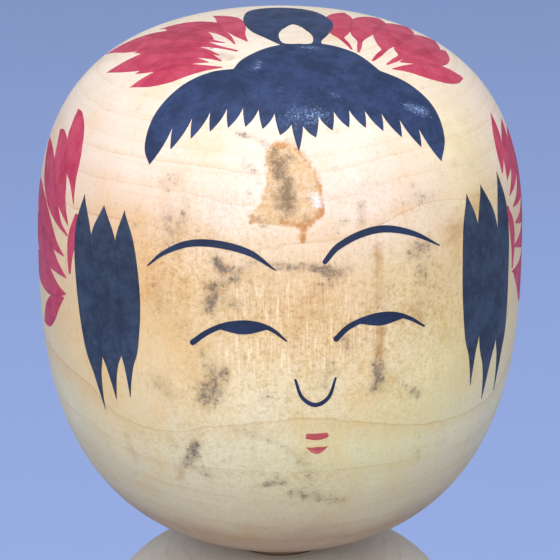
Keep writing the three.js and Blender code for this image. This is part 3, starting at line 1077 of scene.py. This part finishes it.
# How far down a sidelock's stroke, as a share of its length, it has which share of its width
SIDELOCK_SWELL = [(0, 0), (0.17, 0.82), (0.43, 1), (0.70, 0.84), (0.82, 0.40), (0.91, 0.17),
                  (1, 0.01)]


def sidelock_run(top, middle, tail, high, low, half):
    """A sidelock's stroke as (azimuth, height, half-width) points, from its top to its tail."""
    widest = SIDELOCK_SWELL[2][0]
    return [(float(np.interp(share, [0, widest, 1], [top, middle, tail])),
             high + (low - high) * share, half * swell) for share, swell in SIDELOCK_SWELL]


# Runs of (azimuth in degrees, height, half-width in mm), and for the crown's ribbons runs
# of (x, y, half-width) in plan. A ribbon's petals run from tail to tip.
RIBBON_TOP_LEFT = [
    [(-6.3, -9.7, 0.12), (-7, -6.5, 0.9), (-7.2, -3, 1.65), (-7.4, 0.5, 1.95),
     (-7.6, 3, 1.7), (-8.5, 5.4, 0.8), (-9.3, 6.9, 0)],
    [(-8.2, -10.2, 0.12), (-8.7, -7, 0.45), (-9.7, -3.6, 1), (-11.2, -0.5, 2.1),
     (-13.2, 2.4, 2.3), (-15.6, 4.6, 1.2), (-17.7, 5.7, 0)],
    [(-11, -6.9, 0.15), (-12, -4.5, 1), (-13.5, -1.5, 1.7), (-15.2, 1.5, 1.5),
     (-17, 4.8, 0)],
    [(-8.3, -12.8, 0.22), (-10.3, -10.8, 0.35), (-12.3, -8.6, 0.9), (-15, -5.5, 2.5),
     (-18.2, -1.5, 3.5), (-21.3, 2, 3.3), (-24.2, 5.3, 1.7), (-26.7, 8.2, 0)],
    [(-9.6, -9.2, 0.12), (-11.2, -7.6, 0.45), (-13.4, -4.6, 1.3), (-16.2, -0.6, 1.9),
     (-18.8, 3.2, 0.9), (-20.2, 5.2, 0)],
    [(-9.2, -4.6, 0.2), (-10, -1.6, 1.2), (-11.2, 1.6, 1.5), (-12.4, 4.2, 0.1)],
    [(-10.9, -15.1, 0.12), (-12.2, -13.2, 0.6), (-14, -11.2, 1.4), (-17, -9.4, 2.5),
     (-20.5, -7.6, 3.1), (-24, -5.8, 2), (-27.6, -3.6, 0)],
    [(-11, -13.2, 0.1), (-13, -10.6, 0.7), (-16.6, -7.4, 1.5), (-20, -4.6, 1.2),
     (-22.5, -2.6, 0.1)],
    [(-12.8, -14.6, 0.1), (-15, -13, 0.9), (-18.4, -11.6, 1.5), (-21.5, -10.6, 0.9),
     (-23.5, -10, 0)],
    [(-11.1, -16.9, 0.12), (-13, -16.2, 0.6), (-15.5, -15.3, 1.4), (-18.2, -14.5, 2.15),
     (-21, -13.9, 1.8), (-23.2, -13.2, 0.9), (-24.9, -12.7, 0)],
]
RIBBON_TOP_RIGHT = [
    [(8.6, -13.6, 0.15), (8.2, -11.4, 0.36), (7.7, -9.4, 0.50), (7.7, -7.4, 1.35),
     (8.3, -4, 1.9), (9, 0, 2.1), (9.8, 3.6, 1.6), (10.9, 6.9, 0.1)],
    [(9.5, -14.3, 0.15), (10, -12.2, 0.36), (10.4, -10.2, 0.42), (10.7, -8.2, 1.15),
     (11.6, -5, 2), (12.8, -1.5, 2.4), (14.2, 2, 2.4), (15.5, 5.3, 1.2),
     (16.2, 7, 0)],
    [(11.4, -16.4, 0.2), (12.7, -14.2, 0.40), (13.7, -12.4, 0.42), (14.1, -10.4, 1.2),
     (15.2, -7.2, 2.3), (16.8, -3.2, 2.9), (18.3, 0.5, 2.6), (20, 4.2, 1.2),
     (21, 6.5, 0)],
    [(13.5, -16.8, 0.15), (15, -15, 0.42), (16.3, -13.2, 0.55), (17, -11.2, 1.6),
     (18.8, -8.4, 2.5), (20.6, -5.2, 2.9), (22.4, -2, 2.4), (24, 1.4, 1),
     (25, 3.5, 0.1)],
    [(16, -15, 0.2), (18, -13.4, 1.1), (20, -11.6, 1.9), (22.2, -8.9, 2.3),
     (24.2, -5.6, 1.6), (25.8, -2.2, 0)],
    [(14.3, -17.7, 0.12), (16.8, -16.6, 0.9), (19.5, -15.6, 1.75), (22.5, -14.1, 2.2),
     (25, -12.5, 1.7), (26.8, -11.2, 0.5)],
]
RIBBON_SIDE_LEFT = [
    [(-64.5, 219.6, 0.1), (-66.4, 222.3, 0.8), (-69, 225, 2.2), (-72.5, 227.6, 2.5),
     (-76.5, 229.8, 1.4), (-79.8, 231.1, 0)],
    [(-66, 216.2, 0.1), (-69.5, 218.5, 1.1), (-73.5, 221.8, 2.4), (-78, 225.2, 2.1),
     (-81.5, 226.8, 1.1), (-84.8, 227.4, 0)],
    [(-66, 214.6, 0.15), (-70.5, 215.8, 0.7), (-76, 218.5, 2.2), (-82, 221.3, 2.6),
     (-88, 223.2, 1.7), (-95, 224.5, 0.1)],
    [(-67.5, 211.2, 0.1), (-72, 212, 0.9), (-78, 213.6, 2.3), (-84, 215.2, 2.8),
     (-91, 216.6, 2.2), (-99, 217.5, 0.1)],
    [(-66.5, 208, 0.1), (-71, 208.8, 1), (-77, 210, 2.3), (-84, 210.8, 2.8),
     (-92, 211.2, 2.2), (-100, 211.3, 0.1)],
    [(-67, 205.4, 0.12), (-71.5, 205.2, 1.1), (-77, 205.6, 2.3), (-84, 205.9, 2.6),
     (-92, 205.4, 1.9), (-98, 204.8, 0.1)],
    [(-68, 204.6, 0.1), (-72, 203.2, 1.2), (-76, 201.2, 1.9), (-80, 199.2, 1.6),
     (-84.5, 197.5, 0.1)],
    [(-62.6, 217.9, 0.5), (-63.8, 214.5, 1.1), (-64.6, 211.5, 0.7), (-64.7, 209.2, 0.3)],
]
RIBBON_SIDE_RIGHT = [
    [(58.9, 222.6, 0.3), (60.6, 224.6, 1.2), (63, 226.6, 1.5), (65.5, 228.4, 0.9),
     (67.6, 229.9, 0)],
    [(61, 221, 0.1), (64, 223, 1.5), (68, 225, 1.7), (72, 226.6, 1),
     (75.5, 227.8, 0)],
    [(61, 218.6, 0.1), (66, 220.2, 1.1), (71, 222.4, 2.2), (77, 224.2, 1.8),
     (83, 225.6, 0)],
    [(62.5, 216.6, 0.1), (68, 217, 0.9), (74, 218.4, 2.3), (81, 219.8, 2.4),
     (88, 220.8, 1.4), (93, 221.3, 0)],
    [(64, 213.9, 0.12), (70, 213.6, 1), (77, 214.2, 2.4), (85, 214.9, 2.7),
     (94, 215.3, 0.8), (97, 215.4, 0)],
    [(62, 210.5, 0.1), (68, 210.2, 1), (76, 210, 2.3), (85, 209.9, 2.7),
     (95, 209.8, 0.8), (98, 209.7, 0)],
    [(61, 206.8, 0.1), (67, 206, 0.9), (74, 205.2, 2.1), (82, 204.6, 2.3),
     (90, 204.2, 1.2), (95, 204, 0)],
    [(62.5, 206.2, 0.1), (67, 204, 0.9), (72, 201.8, 1.7), (77, 200.2, 1.3),
     (81, 199.2, 0.1)],
    [(58.4, 217, 0.5), (60.6, 213.8, 1.1), (61.3, 210.6, 0.8), (61, 207.6, 0.3)],
]


def make_ribbons():
    for name, runs in (("ribbon_top_left", RIBBON_TOP_LEFT),
                       ("ribbon_top_right", RIBBON_TOP_RIGHT)):
        outlines = [stroke([p[:2] for p in run], [p[2] for p in run]) for run in runs]
        head_film(name, outlines, crown_chart, HEAD_RED)
    side_strokes("ribbon_side_left", RIBBON_SIDE_LEFT, HEAD_RED)
    side_strokes("ribbon_side_right", RIBBON_SIDE_RIGHT, HEAD_RED)


def side_strokes(name, runs, paint, **more):
    outlines = [stroke(on_side([p[:2] for p in run]), [p[2] for p in run]) for run in runs]
    head_film(name, outlines, HEAD_SIDE, paint, **more)


FACE_STROKES = {
    "brow_left": [[(-39, 214, 0.10), (-35, 216.2, 0.32), (-29, 218, 0.48), (-22, 218.3, 0.52),
                   (-15, 217.3, 0.45), (-9.5, 215, 0.10)]],
    "brow_right": [[(1.5, 216, 0.36), (4.5, 218, 0.46), (10, 219.5, 0.50), (16, 219.8, 0.50),
                    (23, 218.5, 0.38), (30, 216, 0.08)]],
    "eye_left": [[(-28, 203.5, 0.42), (-24.5, 205.3, 0.40), (-20, 206.7, 0.38),
                  (-15, 207.1, 0.36), (-10.5, 206.3, 0.32), (-7, 204.5, 0.12)],
                 [(-22.5, 206.1, 0.1), (-16.5, 206.3, 0.95), (-10.5, 206.4, 0.1)]],
    "eye_right": [[(4, 204.5, 0.42), (7, 206.2, 0.43), (12, 207.3, 0.38), (17, 207.3, 0.34),
                   (21.5, 206.2, 0.30), (25.5, 204.5, 0.14)],
                  [(9, 206.6, 0.1), (14.5, 206.8, 1.0), (20.3, 206.5, 0.1)]],
    "nose": [[(-5, 198.5, 0.18), (-3.5, 195.8, 0.26), (-0.5, 194.5, 0.33),
              (2.5, 195.6, 0.28), (4, 198.5, 0.15)]],
}
LIP_STROKES = {
    "lip_upper": [[(-1.9, 189.4, 0.40), (0.2, 189.25, 0.50), (2.2, 189.4, 0.40)],
                  [(-2.2, 189.75, 0.14), (0.2, 189.65, 0.20), (2.3, 189.8, 0.10)],
                  [(-1.9, 189.45, 0.14), (0.2, 189.30, 0.20), (2.7, 189.45, 0.12)],
                  [(-2.4, 189.15, 0.12), (0.2, 188.95, 0.20), (2.2, 189.1, 0.12)]],
    "lip_lower": [[(-1.9, 187.45, 0.12), (-0.9, 187.15, 0.42), (0.3, 187.0, 0.60),
                   (1.4, 187.15, 0.42), (2.4, 187.45, 0.12)],
                  [(-2.1, 187.5, 0.10), (0.3, 187.2, 0.22), (2.5, 187.5, 0.10)]],
}


FINE_SPACING = 0.5


def make_face():
    for paint, marks in ((FACE_INK, FACE_STROKES), (LIP_RED, LIP_STROKES)):
        for name, runs in marks.items():
            side_strokes(name, runs, paint, spacing=FINE_SPACING)


# ---- The body's painting -------------------------------------------------------------

BAND_TURNS = 240       # flats round a band
BAND_STEP = 0.6        # height of a row of its faces

# (lowest height, highest height, ink or dye) of the bands laid on while the body turned
BODY_BANDS = [
    (3.6, 4.4, "black"), (6.4, 11.0, "red"), (13.0, 13.8, "black"),
    (122.6, 123.4, "black"), (125.6, 130.6, "red"), (132.4, 133.1, "black"),
    (139.6, 142.2, "red"), (144.0, 144.6, "black"),
]


def band(name, low, high, material):
    """A painted ring round the body, a little wavy as a brush leaves it."""
    rows = max(2, int((high - low) / BAND_STEP))
    corners = []
    for k in range(rows + 1):
        for i in range(BAND_TURNS):
            azimuth = 2 * math.pi * i / BAND_TURNS
            wave = 0.08 * math.sin(3 * azimuth + low) + 0.05 * math.sin(7 * azimuth + high)
            corners.append((azimuth * WAIST_RADIUS, low + (high - low) * k / rows + wave))
    cells = []
    for k in range(rows):
        for i in range(BAND_TURNS):
            a = k * BAND_TURNS + i
            b = k * BAND_TURNS + (i + 1) % BAND_TURNS
            cells.append(([a, b, b + BAND_TURNS, a + BAND_TURNS], 1))
    shell(name, np.array(corners), cells, BODY_SIDE, BODY_SKIN, "body", material, DYE_LIFT)


PETALS_EACH_SIDE = 5
PETAL_SPREAD = 88        # degrees that the outermost petals lean to each side
PETAL_HALF = 0.085       # a petal's half-width, as a share of the flower's size
PETAL_DROOP = 0.16       # how far the outermost petals' tips hang, as a share of it


def flower(azimuth, base, size):
    """A chrysanthemum seen from the side: petals that fan up and out from its base."""
    centre = math.radians(azimuth) * WAIST_RADIUS
    runs = []
    for k in range(-PETALS_EACH_SIDE, PETALS_EACH_SIDE + 1):
        lean = math.radians(k * PETAL_SPREAD / PETALS_EACH_SIDE)
        reach = size * (1 - 0.10 * abs(math.sin(2 * lean)))
        out_x, out_z = math.sin(lean), math.cos(lean)
        droop = PETAL_DROOP * size * out_x ** 2
        tip = (centre + reach * out_x, base + reach * out_z * 0.92 - droop)
        middle = (centre + 0.55 * reach * out_x, base + 0.55 * reach * (out_z + 0.12))
        root = (centre + 0.10 * reach * out_x, base + 0.10 * reach * out_z)
        wide = size * PETAL_HALF
        runs.append(stroke([root, middle, tip], [0.25, wide, wide * 0.75]))
    for k in (-1, 0, 1):
        x = centre + k * size * 0.17
        runs.append(stroke([(x * 0.98 + centre * 0.02, base - 0.30 * size),
                            (x, base - 0.16 * size), (centre + k * 0.5, base - 0.04 * size)],
                           [0.5, size * 0.07, 0.3]))
    return runs


LEAF_REACHES = (1, 1.18, 1.25, 1.1, 0.8)    # of a leaf's strokes, as shares of its size
LEAF_FIRST = 38          # degrees that the first stroke leans
LEAF_PITCH = 24          # degrees from one stroke to the next
LEAF_BOW = 0.12          # radians that a stroke's middle leans further


def leaf(azimuth, height, way, size):
    """A leaf of short strokes that spread from its stalk towards one side."""
    x = math.radians(azimuth) * WAIST_RADIUS
    runs = []
    for k, share in enumerate(LEAF_REACHES):
        lean = math.radians(way * (LEAF_FIRST + LEAF_PITCH * k))
        bent = lean + way * LEAF_BOW
        reach = size * share
        tip = (x + reach * math.sin(lean), height + reach * math.cos(lean))
        middle = (x + 0.5 * reach * math.sin(bent), height + 0.5 * reach * math.cos(bent))
        runs.append(stroke([(x, height), middle, tip], [0.3, size * 0.13, 0.15]))
    return runs


FLOWERS = {"upper": (0, 92.0, 24.0), "middle": (0, 53.0, 20.0), "lower": (0, 24.5, 14.0)}
LEAVES = {"upper_left": (-12, 85.0, -1, 14.0), "upper_right": (12, 85.0, 1, 14.0),
          "middle_left": (-10, 45.5, -1, 12.5), "middle_right": (10, 45.5, 1, 12.5),
          "lower_left": (-8, 18.5, -1, 8.5), "lower_right": (8, 18.5, 1, 8.5)}


def body_film(name, outlines, dye):
    material, slot = (BODY_RED, "red_ink") if dye == "red" else (BODY_GREEN, "green_ink")
    film(name, outlines, BODY_SIDE, BODY_SKIN, "body", material, slot, DYE_LIFT)


def make_body_painting():
    for k, (low, high, kind) in enumerate(BODY_BANDS):
        material, slot = (HAIR_INK, "black_ink") if kind == "black" else (BODY_RED, "red_ink")
        band(f"band_{kind}_{k}", low, high, material)
    for name, place in FLOWERS.items():
        body_film("flower_" + name, flower(*place), "red")
    for name, place in LEAVES.items():
        body_film("leaf_" + name, leaf(*place), "green")


# ---- Floor, light and camera ---------------------------------------------------------

VIEW_AZIMUTH = -8.4      # degrees, to the doll's right of its face
VIEW_RISE = 18.0         # degrees above the head's widest level
VIEW_DISTANCE = 420.0    # mm from the middle of that level
AIM_BELOW = 5.95         # mm below that level on the axis
LENS = 175.6             # mm, on a 36 mm sensor


def make_camera():
    azimuth, rise = math.radians(VIEW_AZIMUTH), math.radians(VIEW_RISE)
    flat = VIEW_DISTANCE * math.cos(rise)
    place = Vector((flat * math.sin(azimuth), -flat * math.cos(azimuth),
                    WIDEST_Z + VIEW_DISTANCE * math.sin(rise))) * MM
    aim = Vector((0, 0, WIDEST_Z - AIM_BELOW)) * MM
    data = bpy.data.cameras.new("camera")
    data.lens = LENS
    data.sensor_width = 36
    data.clip_start = 0.01
    camera = link(bpy.data.objects.new("camera", data))
    camera.location = place
    camera.rotation_euler = (aim - place).to_track_quat("-Z", "Y").to_euler()
    bpy.context.scene.camera = camera


def soft_box(name, azimuth, rise, distance, size, power, colour):
    """A square studio light that faces the head."""
    data = bpy.data.lights.new(name, "AREA")
    data.shape = "SQUARE"
    data.size = size
    data.energy = power
    data.color = colour
    light = link(bpy.data.objects.new(name, data))
    a, e = math.radians(azimuth), math.radians(rise)
    target = Vector((0, 0, WIDEST_Z * MM))
    light.location = target + distance * Vector(
        (math.cos(e) * math.sin(a), -math.cos(e) * math.cos(a), math.sin(e)))
    light.rotation_euler = (target - light.location).to_track_quat("-Z", "Y").to_euler()


FLOOR_HALF = 6.0         # metres
FLOOR_GAP = 0.0002       # metres that the floor lies below the doll's foot
FLOOR_COLOUR = (0.34, 0.43, 0.72)
WORLD_COLOUR = (0.80, 0.88, 1.0)
WORLD_STRENGTH = 0.55
# (name, azimuth and rise in degrees, distance and size in metres, watts, colour)
LIGHTS = [
    ("key", -13, 37, 1.1, 1.1, 13.7, (0.98, 0.985, 1.0)),
    ("top", -10, 78, 1.2, 0.9, 4.6, (0.74, 0.85, 1.0)),
    ("fill", 5, 5, 1.3, 2.6, 9.6, (1.0, 0.99, 0.98)),
    ("side_left", -80, 2, 1.2, 0.8, 2.2, (1.0, 0.98, 0.95)),
    ("side_right", 76, 2, 1.2, 0.8, 1.2, (1.0, 0.98, 0.95)),
]


def make_stage():
    mesh = bpy.data.meshes.new("floor")
    h = FLOOR_HALF
    mesh.from_pydata([(-h, -h, 0), (h, -h, 0), (h, h, 0), (-h, h, 0)], [], [(0, 1, 2, 3)])
    looks = Looks("floor", FLOOR_COLOUR)
    for name, value in (("Base Color", FLOOR_COLOUR), ("Roughness", 0.9),
                        ("Specular IOR Level", 0.1)):
        looks.feed(value, looks.shader.inputs[name])
    mesh.materials.append(looks.material)
    floor = link(bpy.data.objects.new("floor", mesh))
    floor.location.z = -FLOOR_GAP
    world = bpy.data.worlds.new("studio")
    world.use_nodes = True
    background = world.node_tree.nodes["Background"]
    background.inputs["Color"].default_value = (*WORLD_COLOUR, 1)
    background.inputs["Strength"].default_value = WORLD_STRENGTH
    bpy.context.scene.world = world
    for light in LIGHTS:
        soft_box(*light)
    bpy.context.scene.view_settings.view_transform = "Standard"


make_camera()
make_stage()
make_head()
make_body()
make_hair()
make_ribbons()
make_face()
make_body_painting()
